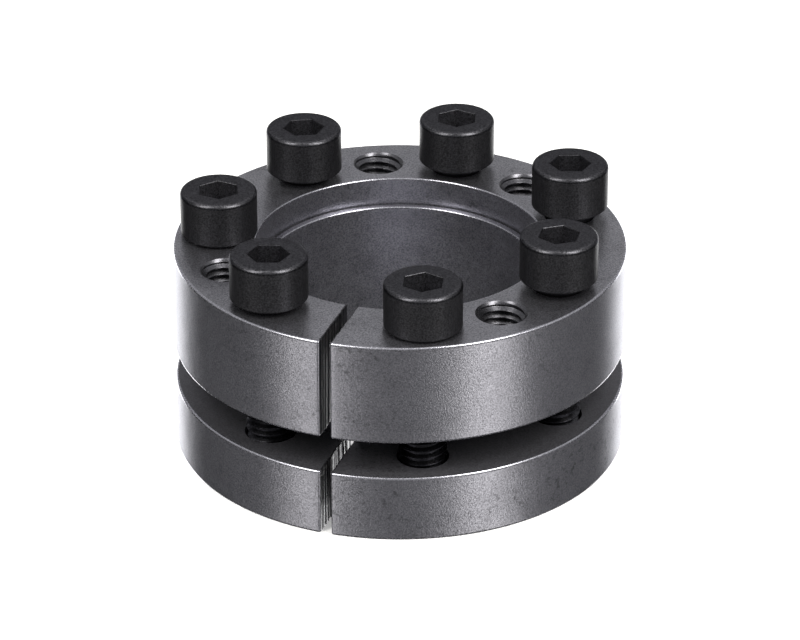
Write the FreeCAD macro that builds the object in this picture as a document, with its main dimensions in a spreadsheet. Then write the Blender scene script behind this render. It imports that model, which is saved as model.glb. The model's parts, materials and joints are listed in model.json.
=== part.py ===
import FreeCAD, Part
import os
import Sketcher

# Keyless shaft-to-hub locking assembly. Clamp screws draw two split outer rings with tapered
# bores together over a split double-taper inner ring, which then grips the shaft while the
# outer rings press outward on the hub.
# +Z runs along the shaft, towards the screw heads. The origin is the centre of the rear ring's
# lower face, and the saw slits of all three rings face -Y.

# Driving sizes in millimetres, angles in degrees.
SIZES = (
    ("bore_diameter", 45.0, "shaft that the inner ring grips"),
    ("crest_wall", 2.55, "wall of the inner ring at its thick middle"),
    ("crest_land", 2.0, "straight land between the inner ring's two tapers"),
    ("taper_angle", 5.5, "slope of each taper against the shaft"),
    ("taper_clearance", 0.15, "radial play between the loosened tapers"),
    ("inner_foot", 0.75, "step from the rear face up to the inner ring"),
    ("recess_depth", 4.7, "step from the front face down to the inner ring"),
    ("recess_clearance", 0.35, "radial play round the inner ring's front end"),
    ("inner_web", 0.9, "wall between the crest and a clearance hole"),
    ("outer_wall", 3.15, "wall between a clearance hole and the outer face"),
    ("rear_thickness", 11.5, "rear outer ring along the shaft"),
    ("ring_gap", 6.3, "open gap between the outer rings"),
    ("front_thickness", 17.35, "front outer ring along the shaft"),
    ("slit_width", 1.85, "saw slit through each ring"),
    ("edge_chamfer", 0.4, "outer edges of the outer rings"),
    ("recess_chamfer", 0.3, "edge of the recess in the front face"),
    ("bore_chamfer", 0.3, "edges of the inner ring's bore"),
    ("thread_diameter", 8.0, "nominal thread of screws and tapped holes"),
    ("thread_clearance", 0.05, "radial play of a screw in a tapped hole"),
    ("hole_clearance", 0.2, "radial play of a screw in the front ring"),
    ("mouth_chamfer", 0.3, "countersink at the mouth of a tapped hole"),
    ("head_diameter", 12.75, "screw head"),
    ("head_height", 7.8, "screw head"),
    ("head_rounding", 1.0, "upper edge of the screw head"),
    ("under_chamfer", 0.4, "lower edge of the screw head"),
    ("socket_width", 6.0, "hexagon socket across its flats"),
    ("socket_depth", 4.2, "hexagon socket down to its drilled point"),
    ("socket_chamfer", 0.15, "softened edges of the socket's mouth"),
    ("drill_slope", 30.0, "slope of the drilled point at the socket's bottom"),
    ("screw_length", 30.0, "screw below its head"),
    ("tip_chamfer", 1.0, "end of the screw"),
)

# Each screw's height above its seat, and the turn of its socket, counted anticlockwise from
# the slit as seen from the front.
SCREW_LIFTS = (0.15, 1.45, 1.7, 1.4, 1.15, 0.3, 0.9)
SOCKET_TURNS = (43.7, 35.7, 19.7, 47.2, 26.7, 51.7, 18.7)
SCREW_COUNT = len(SCREW_LIFTS)

# Places of the first screw and of the tapped extraction holes, in screw spacings from the slit.
FIRST_SCREW_PLACE = 0.5
EXTRACTION_PLACES = (1, 3, 4, 6)

FULL_TURN = 360.0
SLIT_DIRECTION = -90.0
COUNTERSINK_ANGLE = 90.0
HEXAGON = 6
TOLERANCE = 1e-4

# Sizes that follow from the driving ones.
SLOPE = "tan(Sizes.taper_angle * 1 deg)"
BORE_RADIUS = "(Sizes.bore_diameter / 2)"
CREST_RADIUS = f"({BORE_RADIUS} + Sizes.crest_wall)"
TAP_RADIUS = "(Sizes.thread_diameter / 2)"
SHANK_RADIUS = f"({TAP_RADIUS} - Sizes.thread_clearance)"
HOLE_RADIUS = f"({TAP_RADIUS} + Sizes.hole_clearance)"
PITCH_RADIUS = f"({CREST_RADIUS} + Sizes.inner_web + {HOLE_RADIUS})"
OUTER_RADIUS = f"({PITCH_RADIUS} + {HOLE_RADIUS} + Sizes.outer_wall)"
HEAD_RADIUS = "(Sizes.head_diameter / 2)"

# Heights along the shaft.
REAR_TOP = "Sizes.rear_thickness"
FRONT_FLOOR = f"({REAR_TOP} + Sizes.ring_gap)"
FRONT_TOP = f"({FRONT_FLOOR} + Sizes.front_thickness)"
CREST_LOW = f"({REAR_TOP} + (Sizes.ring_gap - Sizes.crest_land) / 2)"
CREST_HIGH = f"({CREST_LOW} + Sizes.crest_land)"
INNER_TOP = f"({FRONT_TOP} - Sizes.recess_depth)"
HEAD_TOP = "(Sizes.screw_length + Sizes.head_height)"


def taper_radius(run):
    """Radius of the inner ring's taper, this far along the shaft from the edge of its crest."""
    return f"({CREST_RADIUS} - ({run}) * {SLOPE})"


FRONT_END_RADIUS = taper_radius(f"{INNER_TOP} - {CREST_HIGH}")
REAR_END_RADIUS = taper_radius(f"{CREST_LOW} - Sizes.inner_foot")
RECESS_RADIUS = f"({FRONT_END_RADIUS} + Sizes.recess_clearance)"


def make_sheet(doc):
    """Sheet of the driving sizes: name, value and what each one is."""
    sheet = doc.addObject("Spreadsheet::Sheet", "Sizes")
    rows = list(SIZES)
    rows.append(("screw_count", SCREW_COUNT, "clamp screws, evenly spaced"))
    for number in range(1, SCREW_COUNT + 1):
        rows.append((f"screw_{number}_lift", SCREW_LIFTS[number - 1], "head above its seat"))
        rows.append((f"screw_{number}_turn", SOCKET_TURNS[number - 1], "turn of its socket"))
    for row, (alias, size, meaning) in enumerate(rows, start=1):
        sheet.set(f"A{row}", alias)
        sheet.set(f"B{row}", str(size))
        sheet.set(f"C{row}", meaning)
        sheet.setAlias(f"B{row}", alias)
    doc.recompute()
    return sheet


def value(doc, expression):
    """Present value of an expression, as a plain number."""
    return float(doc.getObject("Sizes").evalExpression(expression))


def new_body(doc, label):
    body = doc.addObject("PartDesign::Body", label)
    body.Label = label
    return body


def origin_part(body, role):
    """The body's own origin plane or axis with this role."""
    return next(part for part in body.Origin.OriginFeatures if part.Role == role)


def new_sketch(body, name, plane, height=None):
    """Sketch on one of the body's own planes, raised to a height where one is given."""
    sketch = body.newObject("Sketcher::SketchObject", name)
    sketch.AttachmentSupport = (origin_part(body, plane), [""])
    sketch.MapMode = "FlatFace"
    if height:
        sketch.setExpression("AttachmentOffset.Base.z", height)
    return sketch


def drive_point(sketch, point, across, along):
    """Dimension a sketch point from the sketch's origin; None keeps it on that axis."""
    for kind, axis, expression in (("DistanceX", -2, across), ("DistanceY", -1, along)):
        if expression is None:
            sketch.addConstraint(Sketcher.Constraint("PointOnObject", *point, axis))
            continue
        start = value(sketch.Document, expression)
        dimension = Sketcher.Constraint(kind, -1, 1, *point, start)
        number = sketch.addConstraint(dimension)
        sketch.setExpression(f"Constraints[{number}]", expression)


def draw_outline(sketch, corners):
    """Closed outline of straight lines through corners given as expressions."""
    doc = sketch.Document
    points = []
    for corner in corners:
        across, along = (0.0 if place is None else value(doc, place) for place in corner)
        points.append(FreeCAD.Vector(across, along, 0))
    count = len(points)
    for line in range(count):
        sketch.addGeometry(Part.LineSegment(points[line], points[(line + 1) % count]))
    for line in range(count):
        after = (line + 1) % count
        sketch.addConstraint(Sketcher.Constraint("Coincident", line, 2, after, 1))
    for line, (across, along) in enumerate(corners):
        drive_point(sketch, (line, 1), across, along)


def turn_outline(body, name, corners):
    """Solid turned about the body's Z axis from an outline of radius and height."""
    outline = new_sketch(body, f"{name}_outline", "XZ_Plane")
    draw_outline(outline, corners)
    turned = body.newObject("PartDesign::Revolution", f"{name}_turned")
    turned.Profile = outline
    turned.ReferenceAxis = (outline, ["V_Axis"])
    turned.Angle = FULL_TURN
    body.Document.recompute()


def rim_edges(body, radius, height):
    """Names of the circular edges of this radius at this height."""
    wanted_radius = value(body.Document, radius)
    wanted_height = value(body.Document, height) if height else 0.0
    names = []
    for number, edge in enumerate(body.Tip.Shape.Edges, start=1):
        circle = edge.Curve
        if not isinstance(circle, Part.Circle):
            continue
        off = max(abs(circle.Radius - wanted_radius), abs(circle.Center.z - wanted_height))
        if off < TOLERANCE:
            names.append(f"Edge{number}")
    return names


def straight_edges(body, height):
    """Names of the straight edges that lie at this height."""
    wanted = value(body.Document, height)
    names = []
    for number, edge in enumerate(body.Tip.Shape.Edges, start=1):
        level = all(abs(end.Z - wanted) < TOLERANCE for end in edge.Vertexes)
        if isinstance(edge.Curve, Part.Line) and level:
            names.append(f"Edge{number}")
    return names


def dress_edges(body, kind, name, edges, size):
    """Chamfer or fillet the named edges of the body as it stands."""
    base = body.Tip
    dressed = body.newObject(f"PartDesign::{kind}", name)
    dressed.Base = (base, edges)
    dressed.setExpression("Size" if kind == "Chamfer" else "Radius", size)
    body.Document.recompute()


def dress_rims(body, kind, name, rims, size):
    """Chamfer or fillet the circular edges given as (radius, height) pairs."""
    edges = [edge for radius, height in rims for edge in rim_edges(body, radius, height)]
    dress_edges(body, kind, name, edges, size)


def cut_slit(body, name, height):
    """Saw slit through one wall of a ring, from the bore out past its outer face."""
    half = "Sizes.slit_width / 2"
    reach = f"-({OUTER_RADIUS} + Sizes.slit_width)"
    slot = new_sketch(body, f"{name}_slit_outline", "XY_Plane", height)
    corners = ((f"-{half}", None), (half, None), (half, reach), (f"-{half}", reach))
    draw_outline(slot, corners)
    slit = body.newObject("PartDesign::Pocket", f"{name}_slit")
    slit.Profile = slot
    slit.Type = "ThroughAll"
    body.Document.recompute()


def draw_hole_centres(body, name, height, radius, places):
    """Circles on the screws' pitch circle, at places counted in screw spacings from the slit."""
    sketch = new_sketch(body, name, "XY_Plane", height)
    doc = body.Document
    for place in places:
        direction = f"({place} * {FULL_TURN} / Sizes.screw_count + {SLIT_DIRECTION}) * 1 deg"
        across = f"{PITCH_RADIUS} * cos({direction})"
        along = f"{PITCH_RADIUS} * sin({direction})"
        centre = FreeCAD.Vector(value(doc, across), value(doc, along), 0)
        size = value(doc, radius)
        circle = sketch.addGeometry(Part.Circle(centre, FreeCAD.Vector(0, 0, 1), size))
        drive_point(sketch, (circle, 3), across, along)
        number = sketch.addConstraint(Sketcher.Constraint("Radius", circle, size))
        sketch.setExpression(f"Constraints[{number}]", radius)
    doc.recompute()
    return sketch


def drill(body, name, centres, radius, mouth=None):
    """Through holes downward at the sketched centres, countersunk where a mouth is given."""
    hole = body.newObject("PartDesign::Hole", name)
    hole.Profile = centres
    hole.Threaded = False
    hole.ThreadType = "None"
    hole.DepthType = "ThroughAll"
    hole.DrillPoint = "Flat"
    hole.setExpression("Diameter", f"2 * {radius}")
    if mouth:
        hole.HoleCutType = "Countersink"
        hole.HoleCutCountersinkAngle = COUNTERSINK_ANGLE
        hole.setExpression("HoleCutDiameter", f"2 * ({radius} + {mouth})")
    body.Document.recompute()
    return hole


def repeat_round(body, name, feature):
    """The same feature at every screw."""
    pattern = body.newObject("PartDesign::PolarPattern", name)
    pattern.Originals = [feature]
    pattern.Axis = (origin_part(body, "Z_Axis"), [""])
    pattern.Angle = FULL_TURN
    pattern.setExpression("Occurrences", "Sizes.screw_count")
    body.Tip = pattern
    body.Document.recompute()


def rear_outer_ring(doc):
    """Thin split ring with a tapered bore, tapped for the clamp screws."""
    body = new_body(doc, "rear_outer_ring")
    wide_end = f"{taper_radius(f'{CREST_LOW} - {REAR_TOP}')} + Sizes.taper_clearance"
    narrow_end = f"{taper_radius(CREST_LOW)} + Sizes.taper_clearance"
    corners = (
        (narrow_end, None),
        (OUTER_RADIUS, None),
        (OUTER_RADIUS, REAR_TOP),
        (wide_end, REAR_TOP),
    )
    turn_outline(body, "rear", corners)
    rims = ((OUTER_RADIUS, None), (OUTER_RADIUS, REAR_TOP))
    dress_rims(body, "Chamfer", "rear_edges", rims, "Sizes.edge_chamfer")
    cut_slit(body, "rear", REAR_TOP)
    places = (FIRST_SCREW_PLACE,)
    centre = draw_hole_centres(body, "screw_thread_centre", REAR_TOP, TAP_RADIUS, places)
    thread = drill(body, "screw_thread", centre, TAP_RADIUS, "Sizes.mouth_chamfer")
    repeat_round(body, "screw_threads", thread)
    return body


def front_outer_ring(doc):
    """Thick split ring with a tapered bore under a plain recess. Its screw holes clear the
    screws, and the tapped holes between them take screws that push the rings apart."""
    body = new_body(doc, "front_outer_ring")
    wide_end = f"{taper_radius(f'{FRONT_FLOOR} - {CREST_HIGH}')} + Sizes.taper_clearance"
    taper_end = f"{INNER_TOP} - (Sizes.recess_clearance - Sizes.taper_clearance) / {SLOPE}"
    corners = (
        (wide_end, FRONT_FLOOR),
        (OUTER_RADIUS, FRONT_FLOOR),
        (OUTER_RADIUS, FRONT_TOP),
        (RECESS_RADIUS, FRONT_TOP),
        (RECESS_RADIUS, taper_end),
    )
    turn_outline(body, "front", corners)
    rims = ((OUTER_RADIUS, FRONT_FLOOR), (OUTER_RADIUS, FRONT_TOP))
    dress_rims(body, "Chamfer", "front_edges", rims, "Sizes.edge_chamfer")
    rims = ((RECESS_RADIUS, FRONT_TOP),)
    dress_rims(body, "Chamfer", "recess_edge", rims, "Sizes.recess_chamfer")
    cut_slit(body, "front", FRONT_TOP)
    centres = draw_hole_centres(
        body, "extraction_centres", FRONT_TOP, TAP_RADIUS, EXTRACTION_PLACES
    )
    drill(body, "extraction_holes", centres, TAP_RADIUS, "Sizes.mouth_chamfer")
    places = (FIRST_SCREW_PLACE,)
    centre = draw_hole_centres(body, "screw_hole_centre", FRONT_TOP, HOLE_RADIUS, places)
    hole = drill(body, "screw_hole", centre, HOLE_RADIUS)
    repeat_round(body, "screw_holes", hole)
    return body


def inner_ring(doc):
    """Split sleeve with a plain bore, thickest at its middle, tapered towards both ends."""
    body = new_body(doc, "inner_ring")
    corners = (
        (BORE_RADIUS, "Sizes.inner_foot"),
        (REAR_END_RADIUS, "Sizes.inner_foot"),
        (CREST_RADIUS, CREST_LOW),
        (CREST_RADIUS, CREST_HIGH),
        (FRONT_END_RADIUS, INNER_TOP),
        (BORE_RADIUS, INNER_TOP),
    )
    turn_outline(body, "sleeve", corners)
    rims = ((BORE_RADIUS, "Sizes.inner_foot"), (BORE_RADIUS, INNER_TOP))
    dress_rims(body, "Chamfer", "bore_edges", rims, "Sizes.bore_chamfer")
    cut_slit(body, "sleeve", INNER_TOP)
    return body


def cut_socket(body, name):
    """Hexagon socket in the screw head, with the cone of its pilot drill below it."""
    flat_radius = "(Sizes.socket_width / 2)"
    point_height = f"({flat_radius} * tan(Sizes.drill_slope * 1 deg))"
    socket_floor = f"({HEAD_TOP} - Sizes.socket_depth)"
    hexagon = body.newObject("PartDesign::SubtractivePrism", f"{name}_socket")
    hexagon.AttachmentSupport = (origin_part(body, "XY_Plane"), [""])
    hexagon.MapMode = "FlatFace"
    hexagon.Polygon = HEXAGON
    hexagon.setExpression("AttachmentOffset.Base.z", socket_floor)
    half_side_angle = f"{FULL_TURN} deg / (2 * {HEXAGON})"
    hexagon.setExpression("Circumradius", f"{flat_radius} / cos({half_side_angle})")
    hexagon.setExpression("Height", "Sizes.socket_depth")
    body.Document.recompute()
    mouth = straight_edges(body, HEAD_TOP)
    dress_edges(body, "Chamfer", f"{name}_socket_mouth", mouth, "Sizes.socket_chamfer")
    cone = body.newObject("PartDesign::SubtractiveCone", f"{name}_drill_point")
    cone.AttachmentSupport = (origin_part(body, "XY_Plane"), [""])
    cone.MapMode = "FlatFace"
    cone.Radius1 = 0
    cone.setExpression("AttachmentOffset.Base.z", f"{socket_floor} - {point_height}")
    cone.setExpression("Radius2", flat_radius)
    cone.setExpression("Height", point_height)


def clamp_screw(doc, number):
    """Socket head cap screw, its thread plain at the major diameter, tip at its own origin."""
    name = f"clamp_screw_{number}"
    body = new_body(doc, name)
    corners = (
        (None, None),
        (f"{SHANK_RADIUS} - Sizes.tip_chamfer", None),
        (SHANK_RADIUS, "Sizes.tip_chamfer"),
        (SHANK_RADIUS, "Sizes.screw_length"),
        (HEAD_RADIUS, "Sizes.screw_length"),
        (HEAD_RADIUS, HEAD_TOP),
        (None, HEAD_TOP),
    )
    turn_outline(body, name, corners)
    rims = ((HEAD_RADIUS, HEAD_TOP),)
    dress_rims(body, "Fillet", f"{name}_head_edge", rims, "Sizes.head_rounding")
    rims = ((HEAD_RADIUS, "Sizes.screw_length"),)
    dress_rims(body, "Chamfer", f"{name}_under_edge", rims, "Sizes.under_chamfer")
    cut_socket(body, name)
    place = number - 1 + FIRST_SCREW_PLACE
    spacing = f"({place} * {FULL_TURN} / Sizes.screw_count + {SLIT_DIRECTION})"
    seat = f"{FRONT_TOP} + Sizes.screw_{number}_lift"
    body.setExpression("Placement.Base.x", f"{PITCH_RADIUS} * cos({spacing} * 1 deg)")
    body.setExpression("Placement.Base.y", f"{PITCH_RADIUS} * sin({spacing} * 1 deg)")
    body.setExpression("Placement.Base.z", f"{seat} - Sizes.screw_length")
    body.setExpression("Placement.Rotation.Angle", f"Sizes.screw_{number}_turn")
    return body


def check(doc, bodies):
    """Stop before anything is written if an object failed or a solid is not whole."""
    for item in doc.Objects:
        if "Invalid" in item.State or "Error" in item.State:
            raise RuntimeError(f"{item.Name} did not build: {item.State}")
    for body in bodies:
        shape = body.Shape
        if shape.isNull() or not shape.isValid() or len(shape.Solids) != 1:
            raise RuntimeError(f"{body.Label} is not one valid solid")


def main():
    doc = FreeCAD.newDocument("locking_assembly")
    make_sheet(doc)
    bodies = [rear_outer_ring(doc), front_outer_ring(doc), inner_ring(doc)]
    for number in range(1, SCREW_COUNT + 1):
        bodies.append(clamp_screw(doc, number))
    doc.recompute()
    check(doc, bodies)
    os.makedirs("parts", exist_ok=True)
    for body in bodies:
        body.Shape.exportStep(os.path.join("parts", f"{body.Label}.step"))
        box = body.Shape.BoundBox
        print(f"{body.Label}: {body.Shape.Volume:.1f} mm3, z {box.ZMin:.2f} to {box.ZMax:.2f}")


main()
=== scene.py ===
# %% [markdown]
# A keyless locking assembly: three split steel rings that seven black socket screws draw
# together, so that a plain hub grips a plain shaft. The packed frame already settles the
# construction. This lesson gives every surface its real edge, thread and finish. We work in
# metres, with +Z along the shaft and the saw slits facing -Y.

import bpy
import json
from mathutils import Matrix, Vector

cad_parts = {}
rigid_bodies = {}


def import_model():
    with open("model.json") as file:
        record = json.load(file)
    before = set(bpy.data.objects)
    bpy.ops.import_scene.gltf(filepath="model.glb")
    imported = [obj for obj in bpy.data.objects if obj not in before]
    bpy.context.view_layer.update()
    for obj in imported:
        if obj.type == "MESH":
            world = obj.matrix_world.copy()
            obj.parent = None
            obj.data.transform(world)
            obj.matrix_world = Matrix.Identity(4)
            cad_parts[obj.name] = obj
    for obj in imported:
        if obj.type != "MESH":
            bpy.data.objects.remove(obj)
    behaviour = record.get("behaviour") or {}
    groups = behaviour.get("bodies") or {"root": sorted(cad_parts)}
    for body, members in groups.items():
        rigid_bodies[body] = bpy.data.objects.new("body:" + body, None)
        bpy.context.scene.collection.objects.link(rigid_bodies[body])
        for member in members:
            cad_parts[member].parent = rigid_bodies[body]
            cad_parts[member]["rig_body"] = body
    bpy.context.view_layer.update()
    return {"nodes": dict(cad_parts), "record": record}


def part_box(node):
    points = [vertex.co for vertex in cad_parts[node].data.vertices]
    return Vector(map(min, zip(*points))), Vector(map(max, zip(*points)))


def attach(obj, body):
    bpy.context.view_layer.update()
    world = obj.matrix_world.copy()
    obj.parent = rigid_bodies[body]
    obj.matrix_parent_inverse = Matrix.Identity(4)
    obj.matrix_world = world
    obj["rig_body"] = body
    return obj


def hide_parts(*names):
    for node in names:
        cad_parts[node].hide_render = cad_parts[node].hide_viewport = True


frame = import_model()
print("nodes:", sorted(frame["nodes"]))

# %% [markdown]
# The other modules come next. `bmesh` isn't needed: rings and screws are regular enough to
# list their points and faces ourselves. `mathutils.geometry` fills flat faces round their
# holes, `numpy` spaces points evenly, and `random` draws the saw marks from fixed seeds.

# %% Modules and units
import json
import math
import random

import bpy
import numpy as np
from mathutils import Matrix, Vector
from mathutils.geometry import delaunay_2d_cdt

MM = 0.001
TURN = 2 * math.pi
print("a millimetre is", MM, "m, a full turn", round(TURN, 4))

# %% [markdown]
# The sizes are read off the frame wherever it holds them. A node's box gives its heights and its
# widest radius, and the record's mounts give the outside, the bore and the tapped holes. What
# neither tells, such as the slit, the threads and the broken edges, is a named number where it
# is first used.

# %% Sizes from the frame
mounts = {mount["name"]: mount for mount in frame["record"]["mounts"]}
rear_low, rear_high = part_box("rear_outer_ring")
front_low, front_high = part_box("front_outer_ring")
inner_low, inner_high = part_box("inner_ring")

OUTER_RADIUS = mounts["hub_seat"]["dims"]["r_mm"] * MM
BORE_RADIUS = mounts["shaft_bore"]["dims"]["r_mm"] * MM
CREST_RADIUS = inner_high.x
TAP_RADIUS = mounts["extraction_hole_1"]["dims"]["r_mm"] * MM
TAP_CENTRES = [
    Vector(mount["pos_m"][:2])
    for name, mount in mounts.items()
    if name.startswith("extraction_hole")
]
SCREW_NODES = sorted(name for name in frame["nodes"] if name.startswith("clamp_screw"))
print("outside", 2 * OUTER_RADIUS, "bore", 2 * BORE_RADIUS, "tapped holes", len(TAP_CENTRES))


def axis_of(node):
    """Centre of a screw's box: its axis, and the height of its tip."""
    low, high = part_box(node)
    return Vector(((low.x + high.x) / 2, (low.y + high.y) / 2, low.z))


SCREW_TIPS = {node: axis_of(node) for node in SCREW_NODES}
screw_low, screw_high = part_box(SCREW_NODES[0])
SCREW_TOP = screw_high.z - screw_low.z
HEAD_RADIUS = (screw_high.x - screw_low.x) / 2
print("screw", round(SCREW_TOP, 5), "long over all, head", round(2 * HEAD_RADIUS, 5))

# %% [markdown]
# The tapers follow from the frame too. The inner ring is thickest at the middle of the open gap
# and thins towards both ends, and the outer rings' bores follow it with a little play. We could
# measure the CAD meshes, but a function of height says what a taper is, and any wall can ask it.

# %% Taper
TAPER_DEGREES = 5.5
TAPER = math.tan(math.radians(TAPER_DEGREES))
TAPER_PLAY = 0.15 * MM
CREST_LAND = 2.0 * MM
RECESS_PLAY = 0.35 * MM
crest_middle = (rear_high.z + front_low.z) / 2
crest_low = crest_middle - CREST_LAND / 2
crest_high = crest_middle + CREST_LAND / 2


def taper_radius(height):
    """Radius of the inner ring's outside at a height along the shaft."""
    run = max(crest_low - height, height - crest_high, 0.0)
    return CREST_RADIUS - run * TAPER


RECESS_RADIUS = taper_radius(inner_high.z) + RECESS_PLAY


def outer_bore(height):
    """Radius of an outer ring's bore: the taper with its play, then the straight recess."""
    return max(taper_radius(height) + TAPER_PLAY, RECESS_RADIUS if height > crest_high else 0.0)


end_radii = [round(taper_radius(height), 5) for height in (inner_low.z, inner_high.z)]
print("radii at the inner ring's ends:", end_radii, "recess:", round(RECESS_RADIUS, 5))

# %% [markdown]
# Each piece is one closed skin, which we call a shell. We could start from cylinders and cut
# them with booleans, but boolean edges are hard to round, and here the thin bright edges make
# the look. So we list the skin ourselves: closed loops of points at rising heights, bridged by
# quads. A face remembers which finish it has, and an edge can be kept sharp.

# %% Shell


class Shell:
    """Points, faces and finishes of one closed piece."""

    def __init__(self):
        self.points = []
        self.faces = []
        self.finish = []
        self.flat = []
        self.creases = set()

    def loop(self, points):
        """Add a closed loop of points and return their numbers."""
        first = len(self.points)
        self.points.extend(points)
        return list(range(first, len(self.points)))

    def face(self, corners, finish, flat=False):
        """Add a face, unless so many of its corners fell together that nothing is left."""
        kept = list(dict.fromkeys(corners))
        if len(kept) > 2:
            self.faces.append(kept)
            self.finish.append(finish)
            self.flat.append(flat)

    def bridge(self, low, high, finish):
        """Quads between two loops of equal length; finish is one name, or one for each quad."""
        count = len(low)
        names = [finish] * count if isinstance(finish, str) else finish
        for i in range(count):
            j = (i + 1) % count
            self.face((low[i], low[j], high[j], high[i]), names[i])

    def crease(self, loop, wanted=None):
        """Keep the shading sharp along a loop, or only where wanted says so."""
        for i, point in enumerate(loop):
            if wanted is None or wanted[i]:
                self.creases.add(frozenset((point, loop[(i + 1) % len(loop)])))


trial = Shell()
square = trial.loop([(0.0, 0.0, 0.0), (MM, 0.0, 0.0), (MM, MM, 0.0), (0.0, MM, 0.0)])
lid = trial.loop([(x, y, MM) for x, y, _ in trial.points])
trial.bridge(square, lid, "faced")
print("two squares are bridged by", len(trial.faces), "faces")

# %% [markdown]
# The two faces of a ring are flat, with up to eleven holes. One big polygon can't have holes, so
# the face is filled with triangles between all the loops. `delaunay_2d_cdt` finds them: its
# output type 1 keeps what lies inside the outline, and we leave out what lies inside a hole.

# %% Flat faces
INSIDE_OUTLINE = 1
SAME_POINT = 1e-6


def inside(point, ring):
    """Whether a point lies inside a closed ring of points."""
    x, y = ring[:, 0], ring[:, 1]
    next_x, next_y = np.roll(x, -1), np.roll(y, -1)
    straddles = (y > point.y) != (next_y > point.y)
    with np.errstate(divide="ignore", invalid="ignore"):
        crossing = x + (point.y - y) * (next_x - x) / (next_y - y)
    return bool(np.count_nonzero(straddles & (point.x < crossing)) % 2)


def flat_face(shell, outline, holes, finish, up):
    """Flat face inside an outline and outside its holes."""
    loops = [outline, *holes]
    numbers = [i for loop in loops for i in loop]
    places = [Vector(shell.points[i][:2]) / MM for i in numbers]
    edges = []
    for loop in loops:
        start = len(edges)
        edges += [(start + i, start + (i + 1) % len(loop)) for i in range(len(loop))]
    found, _, triangles, origin, _, _ = delaunay_2d_cdt(
        places, edges, [], INSIDE_OUTLINE, SAME_POINT
    )
    rings = [np.array([shell.points[i][:2] for i in hole]) / MM for hole in holes]
    for triangle in triangles:
        a, b, c = (found[i] for i in triangle)
        if any(inside((a + b + c) / 3, ring) for ring in rings):
            continue
        corners = [numbers[origin[i][0]] for i in triangle]
        if ((b - a).cross(c - a) > 0) != up:
            corners.reverse()
        shell.face(corners, finish, True)


flat_face(trial, lid, [], "faced", up=True)
print("with a lid they have", len(trial.faces))

# %% [markdown]
# The slits were sawn, and their walls show it as upright lines. A bump map could draw them, but
# the camera looks nearly along the wall, where a bump hardly shows. So the marks are real
# geometry: random depths across the wall, from a fixed seed, the same at every height. Each mark
# keeps a tenth of the one before it. The wall's two ends have none, so the corners stay clean.

# %% Saw marks
SAW_DEPTH = 0.08 * MM
SAW_MEMORY = 0.1


def saw_marks(steps, seed):
    """Depth of the saw's marks across one slit wall, none at its two ends."""
    draw = random.Random(seed)
    depth = 0.0
    depths = []
    for _ in range(steps):
        depth = SAW_MEMORY * depth + draw.uniform(-1, 1) * SAW_DEPTH
        depths.append(depth)
    depths[0] = depths[-1] = 0.0
    return depths


print("a few marks, in mm:", [round(depth / MM, 3) for depth in saw_marks(6, seed=1)])

# %% [markdown]
# Seen from above, a split ring is a letter C. Its loop runs round the outside, into the slit,
# back round the inside and out of the slit. Cutting a full ring with a thin box would be
# quicker, but then each wall of the slit is one flat face, and its marks have no place to go.

# %% Split outline
SLIT_HALF = 0.925 * MM
OUTER_STEPS = 384
INNER_STEPS = 240
CORNER_STEPS = 4


def arc(radius, start, end, steps):
    """Points along an arc about the shaft, both ends included."""
    return [
        (radius * math.cos(angle), radius * math.sin(angle))
        for angle in np.linspace(start, end, steps)
    ]


def rounded_corner(before, corner, after):
    """Points of a rounded corner, between a point before it and a point after it."""
    points = []
    for t in np.linspace(0, 1, CORNER_STEPS + 2)[1:-1]:
        weights = ((1 - t) ** 2, 2 * t * (1 - t), t**2)
        parts = zip(before, corner, after, strict=True)
        points.append(tuple(float(np.dot(weights, part)) for part in parts))
    return points


def split_outline(outer, inner, half, slit):
    """Points of a C, anticlockwise from the right lip of the slit, and each side's finish."""
    lip_out = math.asin(half / outer)
    lip_in = math.asin(half / inner)
    start = -TURN / 4 + lip_out + slit["corner"] / outer
    y_out = -outer * math.cos(lip_out)
    wall = np.linspace(y_out + slit["corner"], -inner * math.cos(lip_in), slit["steps"])
    left, right = (saw_marks(slit["steps"], slit["seed"] + side) for side in (0, 1))
    points = arc(outer, start, TURN / 2 - start, OUTER_STEPS)
    points += rounded_corner(points[-1], (-half, y_out), (-half, wall[0]))
    points += [(-half - depth, y) for depth, y in zip(left, wall, strict=True)]
    points += arc(inner, TURN * 3 / 4 - lip_in, lip_in - TURN / 4, INNER_STEPS)[1:-1]
    points += [(half + depth, y) for depth, y in zip(right, wall[::-1], strict=True)]
    points += rounded_corner((half, wall[0]), (half, y_out), points[0])
    names = ["ground"] * (OUTER_STEPS - 1 + CORNER_STEPS + 1)
    names += ["sawn"] * (slit["steps"] - 1) + ["bored"] * (INNER_STEPS - 1)
    names += ["sawn"] * (slit["steps"] - 1) + ["ground"] * (CORNER_STEPS + 1)
    return points, names


thick_slit = {"corner": 0.35 * MM, "steps": 56, "seed": 11}
outline, sides = split_outline(OUTER_RADIUS, BORE_RADIUS, SLIT_HALF, thick_slit)
print("one outline:", len(outline), "points,", sides.count("sawn"), "of its sides in the slit")

# %% [markdown]
# A turned edge is never left sharp, and its small rounding is the thin bright line round each
# ring, so it is geometry too. A Bevel modifier would round it, but it would find the saw marks
# and the threads as well. Instead `step_back` says how far a wall stands back near a face, as a
# quarter of a circle, and the wall gets several levels there.

# %% Broken edges
EDGE_SHARES = (0.0, 0.06, 0.2, 0.45, 1.0)
HEIGHT_DIGITS = 9


def step_back(depth, size):
    """How far a rounded edge stands back from its wall, at a depth below the face."""
    rest = size - min(max(depth, 0.0), size)
    return size - math.sqrt(size**2 - rest**2)


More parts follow.
